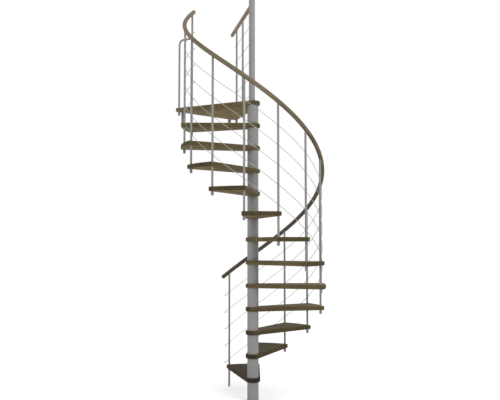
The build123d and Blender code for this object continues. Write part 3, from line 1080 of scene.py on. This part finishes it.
@dataclass(frozen=True)
class Rails:
    """The helical handrail and the level landing rail, both with rounded ends."""

    flight: Flight
    landing: Landing
    lead_in: float = 6.3
    lead_out: float = 4.0
    end_cap: float = 0.005
    post_overlap: float = 0.004
    level_ring_spacing: float = 0.030
    section_count: int = 4

    def helical(self) -> Surface:
        """The handrail, which leads past the first and the last baluster by its own angles.

        Returns:
            The handrail's skin.
        """
        flight = self.flight
        per_degree = math.radians(1) * math.hypot(flight.rail_circle, flight.climb)
        length = (flight.turn + self.lead_in + self.lead_out) * per_degree + 2 * self.end_cap
        distances, radii = flight.rail.rings(length)
        height = flight.rise + flight.rail_height - math.radians(self.lead_in) * flight.climb
        start = flight.first_angle + self.lead_in
        run = flight.climbing_run(flight.rail_circle, start, height, distances - self.end_cap)
        centres, tangents, normals = run
        return tube(centres, radii, tangents, normals, flight.rail.segments)

    def level(self) -> Surface:
        """The landing rail. Only its outer end is rounded, as the other one lies in the post.

        Returns:
            The landing rail's skin.
        """
        flight, landing = self.flight, self.landing
        begin = landing.post.radius - self.post_overlap
        rail = replace(flight.rail, ring_spacing=self.level_ring_spacing)
        distances, radii = rail.rings(landing.rail_length + self.end_cap - begin)
        radii = np.where(distances < rail.radius, rail.radius, radii)
        foot = landing.place(begin, flight.landing_top + flight.rail_height)
        return straight(foot, direction(landing.rail_angle), distances, radii, rail.segments)

    def build(self, wood: Material, level_wood: Material) -> None:
        """Builds both rails.

        Args:
            wood: The handrail's wood, with painted shade low and painted light high.
            level_wood: The landing rail's wood, made lighter as painted light.
        """
        sections = [f"handrail_section_{i + 1}" for i in range(self.section_count)]
        add_piece("helical_rail", [self.helical()], wood, sections)
        add_piece("level_rail", [self.level()], level_wood, ["landing_rail", "rail_end_caps"])


@dataclass(frozen=True)
class Cables:
    """The cables of the flight and of the landing, with the studs swaged on to their ends."""

    flight: Flight
    landing: Landing
    radius: float = 0.0025
    ring_spacing: float = 0.020
    segments: int = 12
    level_segments: int = 14
    overrun: float = 0.038
    sunk: float = 0.002
    stud_radius: float = 0.006
    stud_rounding: float = 0.0015
    stud_length: float = 0.015
    post_stud_length: float = 0.030
    post_overlap: float = 0.001
    neck: float = 0.006
    shoulder: float = 0.3
    neck_share: float = 0.95
    stud_segments: int = 24

    def rings(self, length: float) -> tuple[Array, Array]:
        """Rings of a cable whose ends lie just inside its studs."""
        ends = np.array([self.sunk, length - self.sunk])
        return filled(ends, np.full(2, self.radius), self.ring_spacing)

    def stud(self, tip: Array, inward: Array, length: float) -> Surface:
        """A smooth sleeve from its rounded tip to a neck that closes on the cable.

        Args:
            tip: Its outer end.
            inward: Unit direction from the tip along the cable.
            length: Its length without the neck.

        Returns:
            The sleeve's skin.
        """
        full, rounding, shoulder = self.stud_radius, self.stud_rounding, self.shoulder
        profile = [
            (full - rounding, 0),
            (full - shoulder * rounding, shoulder * rounding),
            (full, rounding),
            (full, length),
            (full - rounding, length + shoulder * self.neck),
            (self.neck_share * self.radius, length + self.neck),
        ]
        return turned(profile, tip, inward, self.stud_segments)

    def build_flight(self, steel: Material) -> list[Surface]:
        """Builds the cables that climb with the flight, one piece each.

        Args:
            steel: The stranded steel.

        Returns:
            Their studs' skins.
        """
        flight = self.flight
        over = self.overrun / flight.baluster_circle
        per_radian = math.hypot(flight.baluster_circle, flight.climb)
        length = (math.radians(flight.turn) + 2 * over) * per_radian + 2 * self.stud_length
        start = flight.first_angle + math.degrees(over)
        distances, radii = self.rings(length)
        ends = np.array([0.0, length])
        studs = []
        for i in range(CABLE_COUNT):
            height = flight.rise + flight.cable_rise(i) - over * flight.climb
            place = (flight.baluster_circle, start, height)
            centres, tangents, normals = flight.climbing_run(*place, distances - self.stud_length)
            cable = tube(centres, radii, tangents, normals, self.segments)
            add_piece(f"flight_cable_{i + 1}", [cable], steel, [f"cable_{i + 1}"])
            tips, runs, _ = flight.climbing_run(*place, ends - self.stud_length)
            studs.append(self.stud(tips[0], runs[0], self.stud_length))
            studs.append(self.stud(tips[1], -runs[1], self.stud_length))
        return studs

    def build_level(self, steel: Material) -> list[Surface]:
        """Builds the landing's cables, from the newel post to past the outer baluster.

        Args:
            steel: The stranded steel.

        Returns:
            Their studs' skins.
        """
        landing = self.landing
        begin = landing.post.radius - self.post_overlap
        length = landing.baluster_places[-1] + self.overrun + self.stud_length - begin
        distances, radii = self.rings(length)
        run = direction(landing.rail_angle)
        cables, studs = [], []
        for i in range(CABLE_COUNT):
            tip = landing.place(begin, landing.cable_height(i))
            cables.append(straight(tip, run, distances, radii, self.level_segments))
            studs.append(self.stud(tip, run, self.post_stud_length))
            studs.append(self.stud(tip + run * length, -run, self.stud_length))
        add_piece("level_cables", cables, steel, ["landing_cables"])
        return studs

    def build(self, steel: Material, stud_steel: Material) -> None:
        """Builds every cable, and the studs of all of them as one piece.

        Args:
            steel: The stranded steel.
            stud_steel: The smooth steel of the studs.
        """
        studs = self.build_flight(steel) + self.build_level(steel)
        add_piece("cable_studs", studs, stud_steel)


@dataclass(frozen=True)
class Fixings:
    """The hex bolts in the brackets' upright legs and the screws up into the landing.

    A screw head's shoulder and rim are each a radius and a drop below its seat.
    """

    flight: Flight
    landing: Landing
    inset: float = 0.097
    bracket_thickness: float = 0.006
    bracket_leg: float = 0.080
    hole_drop: float = 0.030
    hole_spacing: float = 0.060
    gap: float = 0.0001
    bolt_radius: float = 0.005
    bolt_bevel: float = 0.0005
    bolt_recess: float = 0.001
    washer_radius: float = 0.011
    washer_thickness: float = 0.002
    washer_bevel: float = 0.0004
    head_radius: float = 0.0085
    head_top: float = 0.0085
    head_bevel: float = 0.0012
    bolt_count: int = 2
    shank_segments: int = 20
    washer_segments: int = 28
    hex_sides: int = 6
    screw_shares: tuple[float, float] = (0.35, 0.75)
    screw_radius: float = 0.0065
    screw_height: float = 0.0036
    screw_flat: float = 0.0015
    screw_shoulder: tuple[float, float] = (0.0042, 0.0028)
    screw_rim: tuple[float, float] = (0.0062, 0.0010)
    screw_segments: int = 24

    def corner(self, side: float, inward: int) -> Array:
        """Where a bracket stands on the landing's edge.

        A side is the line that touches the round head and runs at the side's angle. It meets the edge
        where its distance along the edge's outward direction is the landing's reach.

        Args:
            side: Angle of the landing's side, in degrees.
            inward: 1 or -1, the way along the edge from that side's corner to its middle.

        Returns:
            A point on the floor plane, set in from the corner on that side.
        """
        outward = direction(self.landing.edge_angle)
        along = direction(self.landing.edge_angle + FULL_TURN / 4)
        offset = direction(side + FULL_TURN / 4) * -self.flight.head_radius * inward
        run = direction(side)
        reach = (self.landing.reach - offset.dot(outward)) / run.dot(outward)
        return offset + run * reach + along * self.inset * inward

    def bolt(self, hole: Array, outward: Array) -> list[Surface]:
        """A bolt's shank in its hole, with a washer and a six-sided head on the leg's inner face.

        Args:
            hole: Centre of the hole on the leg's outer face.
            outward: Unit direction out of the leg.

        Returns:
            The skins of the shank, the washer and the head.
        """
        inner = hole - outward * self.bracket_thickness
        radius, bevel, depth = self.bolt_radius, self.bolt_bevel, self.bracket_thickness
        shank = [
            (radius - bevel, -depth),
            (radius, bevel - depth),
            (radius, -self.bolt_recess),
            (radius - bevel, -2 * self.gap),
        ]
        radius, thickness = self.washer_radius, self.washer_thickness
        washer = [
            (radius - bevel, -thickness),
            (radius, self.washer_bevel - thickness),
            (radius, -self.washer_bevel),
            (radius - bevel, -self.gap),
        ]
        radius, top = self.head_radius, self.head_top
        head = [
            (radius - self.head_bevel, -top),
            (radius, 2 * bevel - top),
            (radius, -thickness - self.gap),
        ]
        return [
            turned(shank, hole, outward, self.shank_segments),
            turned(washer, inner, outward, self.washer_segments),
            turned(head, inner, outward, self.hex_sides),
        ]

    def screw(self, place: Array) -> Surface:
        """A low domed screw head under a bracket.

        Args:
            place: Centre of its seat.

        Returns:
            The head's skin.
        """
        dome = [
            (self.screw_flat, -self.screw_height),
            (self.screw_shoulder[0], -self.screw_shoulder[1]),
            (self.screw_rim[0], -self.screw_rim[1]),
            (self.screw_radius, -self.gap),
        ]
        return turned(dome, place, UP, self.screw_segments)

    def build(self, zinc: Material) -> None:
        """Builds the bolts and screws.

        Args:
            zinc: The zinc plate.
        """
        outward = direction(self.landing.edge_angle)
        under = self.flight.landing_top - self.flight.tread_thickness
        skins: list[Surface] = []
        for side, inward in zip(self.landing.side_angles, (-1, 1)):
            corner = self.corner(side, inward)
            for i in range(self.bolt_count):
                skins += self.bolt(corner + UP * (under - self.hole_drop - self.hole_spacing * i), outward)
            for share in self.screw_shares:
                seat = corner - outward * self.bracket_leg * share
                skins.append(self.screw(seat + UP * (under - self.bracket_thickness)))
        add_piece("bracket_screws", skins, zinc)


@dataclass(frozen=True)
class Dresser:
    """Gives every CAD node that shows its own procedural material."""

    flight: Flight
    landing: Landing
    light: Colour = (0.208, 0.152, 0.066)
    dark: Colour = (0.087, 0.066, 0.030)
    bands: float = 13.0
    # Painted shade on the boards' sides, and on their end grain partly deeper stain and partly painted shade.
    painted_side_shade: float = 0.75
    end_grain_and_painted_shade: float = 1.15
    dust: float = 0.03
    log_step: Place = (0.37, 0.83, 0.19)
    # Painted light and shade: low boards are darkened and high boards lightened, and the landing more so.
    low_board_shade: float = 0.25
    high_board_light: float = 1.68
    shade_ramp_boards: int = 5
    landing_painted_light: float = 1.2

    def tone(self, number: int) -> float:
        """Painted light and shade of a board, darker low and lighter high, counted from 1 at the floor. The
        landing counts as one more board.

        Args:
            number: The board's number.

        Returns:
            The share of the wood's colours.
        """
        # Painted shade on the low boards, rising to painted light on the high ones.
        climbed = min(number / self.shade_ramp_boards, 1.0)
        tone = self.low_board_shade + (self.high_board_light - self.low_board_shade) * climbed
        return tone * self.landing_painted_light if number > TREAD_COUNT else tone

    def board_wood(self, name: str, angle: float, number: int) -> WoodFinish:
        """A board's wood, with its grain along the board and a place in the log of its own.

        Args:
            name: The CAD node's name.
            angle: Angle of the board's length, in degrees.
            number: The board's number.

        Returns:
            The wood's finish.
        """
        # The wood's colours are scaled by the board's painted light and shade.
        tone = self.tone(number)
        return WoodFinish(
            f"{name}_wood",
            tuple(part * tone for part in self.light),
            tuple(part * tone for part in self.dark),
            self.bands,
            turn=-angle,
            shift=tuple(step * number for step in self.log_step),
            painted_side_shade=self.painted_side_shade,
            end_grain_and_painted_shade=self.end_grain_and_painted_shade,
            dust=self.dust,
        )

    def dress(self, frame: dict[str, Any], effects: Effects, by_slot: dict[Slot, Material]) -> None:
        """Puts a material on each CAD node.

        Args:
            frame: What the frame loads.
            effects: The shared node groups.
            by_slot: The material of each slot but the treads'.
        """
        boards = {f"tread_{n:02d}": self.flight.tread_angle(n) for n in range(1, TREAD_COUNT + 1)}
        boards["landing_platform"] = self.landing.edge_angle
        numbers = {name: number for number, name in enumerate(boards, start=1)}
        for part in frame["record"]["subparts"]:
            name = part["node"]
            node = frame["nodes"][name]
            node.data.materials.clear()
            if name in boards:
                material = self.board_wood(name, boards[name], numbers[name]).build(effects)
            else:
                material = by_slot[Slot(part["material_slot"])]
            node.data.materials.append(material)
            LOG.info("dressed %s", node.name)


@dataclass(frozen=True)
class Studio:
    """The camera, the soft lights, and a white floor that keeps the object's shadow."""

    camera_place: Place = (0.0, -6.138, 1.508)
    pitch: float = 3.814
    yaw: float = 0.26
    focal_pixels: float = 632.95
    photo_width: float = 500.0
    sensor_width: float = 36.0
    floor_size: float = 60.0
    floor_white: float = 0.97
    floor_roughness: float = 0.95
    floor_specular: float = 0.1
    floor_lift: float = 0.46
    horizon: float = 1.05
    zenith: float = 0.35
    key_place: Place = (4.5, -5.0, 6.0)
    key_power: float = 140.0
    fill_place: Place = (-5.5, -5.0, 3.4)
    fill_power: float = 45.0
    lamp_size: float = 4.0
    lamp_aim: float = 1.8

    def add_camera(self) -> None:
        """Puts the camera at the photograph's point of view."""
        data = bpy.data.cameras.new("camera")
        data.sensor_width = self.sensor_width
        data.lens = self.focal_pixels / self.photo_width * self.sensor_width
        camera = bpy.data.objects.new("camera", data)
        camera.location = self.camera_place
        camera.rotation_euler = (math.radians(90 + self.pitch), 0, math.radians(self.yaw))
        bpy.context.scene.collection.objects.link(camera)
        bpy.context.scene.camera = camera

    def add_world(self) -> None:
        """Lights the object with a pale world, which the camera sees as white."""
        world = bpy.data.worlds.new("studio")
        world.use_nodes = True
        graph = Graph(world.node_tree)
        background = world.node_tree.nodes["Background"]
        toward = graph.add("ShaderNodeTexCoord").outputs["Generated"]
        glow = graph.ranged(graph.part(toward, "Z"), 0.0, 1.0, self.horizon, self.zenith)
        seen = graph.add("ShaderNodeLightPath").outputs["Is Camera Ray"]
        strength = graph.add("ShaderNodeMix", {0: seen, 2: glow, 3: 1.0}, data_type="FLOAT").outputs[0]
        world.node_tree.links.new(strength, background.inputs["Strength"])
        background.inputs["Color"].default_value = (1, 1, 1, 1)
        bpy.context.scene.world = world

    def add_lamp(self, name: str, place: Place, power: float) -> None:
        """Hangs a large round lamp that faces the middle of the staircase.

        Args:
            name: The lamp's name.
            place: Where it hangs.
            power: Its power in watts.
        """
        data = bpy.data.lights.new(name, "AREA")
        data.shape = "DISK"
        data.size = self.lamp_size
        data.energy = power
        lamp = bpy.data.objects.new(name, data)
        lamp.location = place
        aim = np.array([0.0, 0.0, self.lamp_aim]) - np.array(place)
        tilt = math.atan2(math.hypot(aim[0], aim[1]), -aim[2])
        lamp.rotation_euler = (tilt, 0, math.atan2(-aim[0], aim[1]))
        bpy.context.scene.collection.objects.link(lamp)

    def add_floor(self) -> None:
        """Lays a pale floor under the object. It glows a little for the camera, so that it looks white."""
        half = self.floor_size / 2
        corners = [(-half, -half, 0), (half, -half, 0), (half, half, 0), (-half, half, 0)]
        mesh = bpy.data.meshes.new("floor")
        mesh.from_pydata(corners, [], [(0, 1, 2, 3)])
        floor = bpy.data.objects.new("floor", mesh)
        bpy.context.scene.collection.objects.link(floor)
        finish = Finish.start("floor")
        white = self.floor_white
        finish.set(Base_Color=rgba((white, white, white)), Roughness=self.floor_roughness)
        finish.set(Specular_IOR_Level=self.floor_specular, Emission_Color=(1, 1, 1, 1))
        seen = finish.graph.add("ShaderNodeLightPath").outputs["Is Camera Ray"]
        finish.join(Emission_Strength=finish.graph.product(seen, self.floor_lift))
        mesh.materials.append(finish.material)

    def build(self) -> None:
        """Sets the scene up round the object."""
        self.add_camera()
        self.add_world()
        self.add_lamp("key", self.key_place, self.key_power)
        self.add_lamp("fill", self.fill_place, self.fill_power)
        self.add_floor()
        bpy.context.scene.view_settings.view_transform = "Standard"


@dataclass(frozen=True)
class Palette:
    """The colours of the shared finishes. The handrail's wood gets painted light on the way up, and the
    landing rail's wood and the column's grey are made lighter as painted light.
    """

    rail_light: Colour = (0.235, 0.184, 0.124)
    rail_dark: Colour = (0.115, 0.092, 0.062)
    rail_bands: float = 30.0
    # Painted shade low and painted light high on the handrail, and painted light on the whole landing rail.
    rail_painted_light: tuple[float, float] = (0.52, 1.6)
    rail_painted_light_run: float = 4.8
    level_rail_painted_light: tuple[float, float] = (1.9, 1.9)
    # The column's grey is the balusters' paint made a little lighter, as painted light.
    column: Colour = (0.286, 0.288, 0.284)
    column_roughness: float = 0.45
    balusters: Colour = (0.268, 0.269, 0.264)
    baluster_roughness: float = 0.42
    cables: Colour = (0.62, 0.62, 0.62)
    studs: Colour = (0.66, 0.66, 0.66)
    zinc: Colour = (0.48, 0.48, 0.47)
    plastic: Colour = (0.03, 0.03, 0.03)

    def rail_wood(self, name: str, radius: float, painted_light_gain: tuple[float, float]) -> WoodFinish:
        """A rail's wood, with a gain from its lower end to its upper one, as painted light and shade."""
        look = (self.rail_light, self.rail_dark, self.rail_bands, radius)
        return WoodFinish(name, *look, painted_light_gain=painted_light_gain, painted_light_run=self.rail_painted_light_run)


def main() -> None:
    """Builds the staircase's looks in order."""
    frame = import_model()
    flight = Flight()
    landing = Landing(flight)
    effects, palette = Effects(), Palette()
    rail_wood = palette.rail_wood("rail_wood", flight.rail.radius, palette.rail_painted_light).build(effects)
    # The landing rail's wood is the handrail's wood made lighter, as painted light.
    level_wood = palette.rail_wood("level_rail_wood", flight.rail.radius, palette.level_rail_painted_light).build(effects)
    # The column's paint is the balusters' grey made a little lighter, as painted light.
    lit_column_paint = CoatFinish("lit_column_paint", palette.column, palette.column_roughness).build(effects)
    baluster_paint = CoatFinish(
        "baluster_paint", palette.balusters, palette.baluster_roughness
    ).build(effects)
    steel = CableFinish("cable_steel", palette.cables).build(effects)
    stud_steel = StudFinish("stud_steel", palette.studs).build()
    zinc = ZincFinish("zinc_plate", palette.zinc).build()
    plastic = PlasticFinish("dark_plastic", palette.plastic).build(effects)
    by_slot = {
        Slot.RAIL_WOOD: level_wood,
        Slot.GREY_PAINT: baluster_paint,
        Slot.CABLE_STEEL: steel,
        Slot.ZINC_STEEL: zinc,
        Slot.DARK_PLASTIC: plastic,
    }
    Dresser(flight, landing).dress(frame, effects, by_slot)
    Column(flight, landing).build(lit_column_paint)
    Balusters(flight, landing).build(baluster_paint, plastic)
    Rails(flight, landing).build(rail_wood, level_wood)
    Cables(flight, landing).build(steel, stud_steel)
    Fixings(flight, landing).build(zinc)
    Studio().build()


if __name__ == "__main__":
    main()
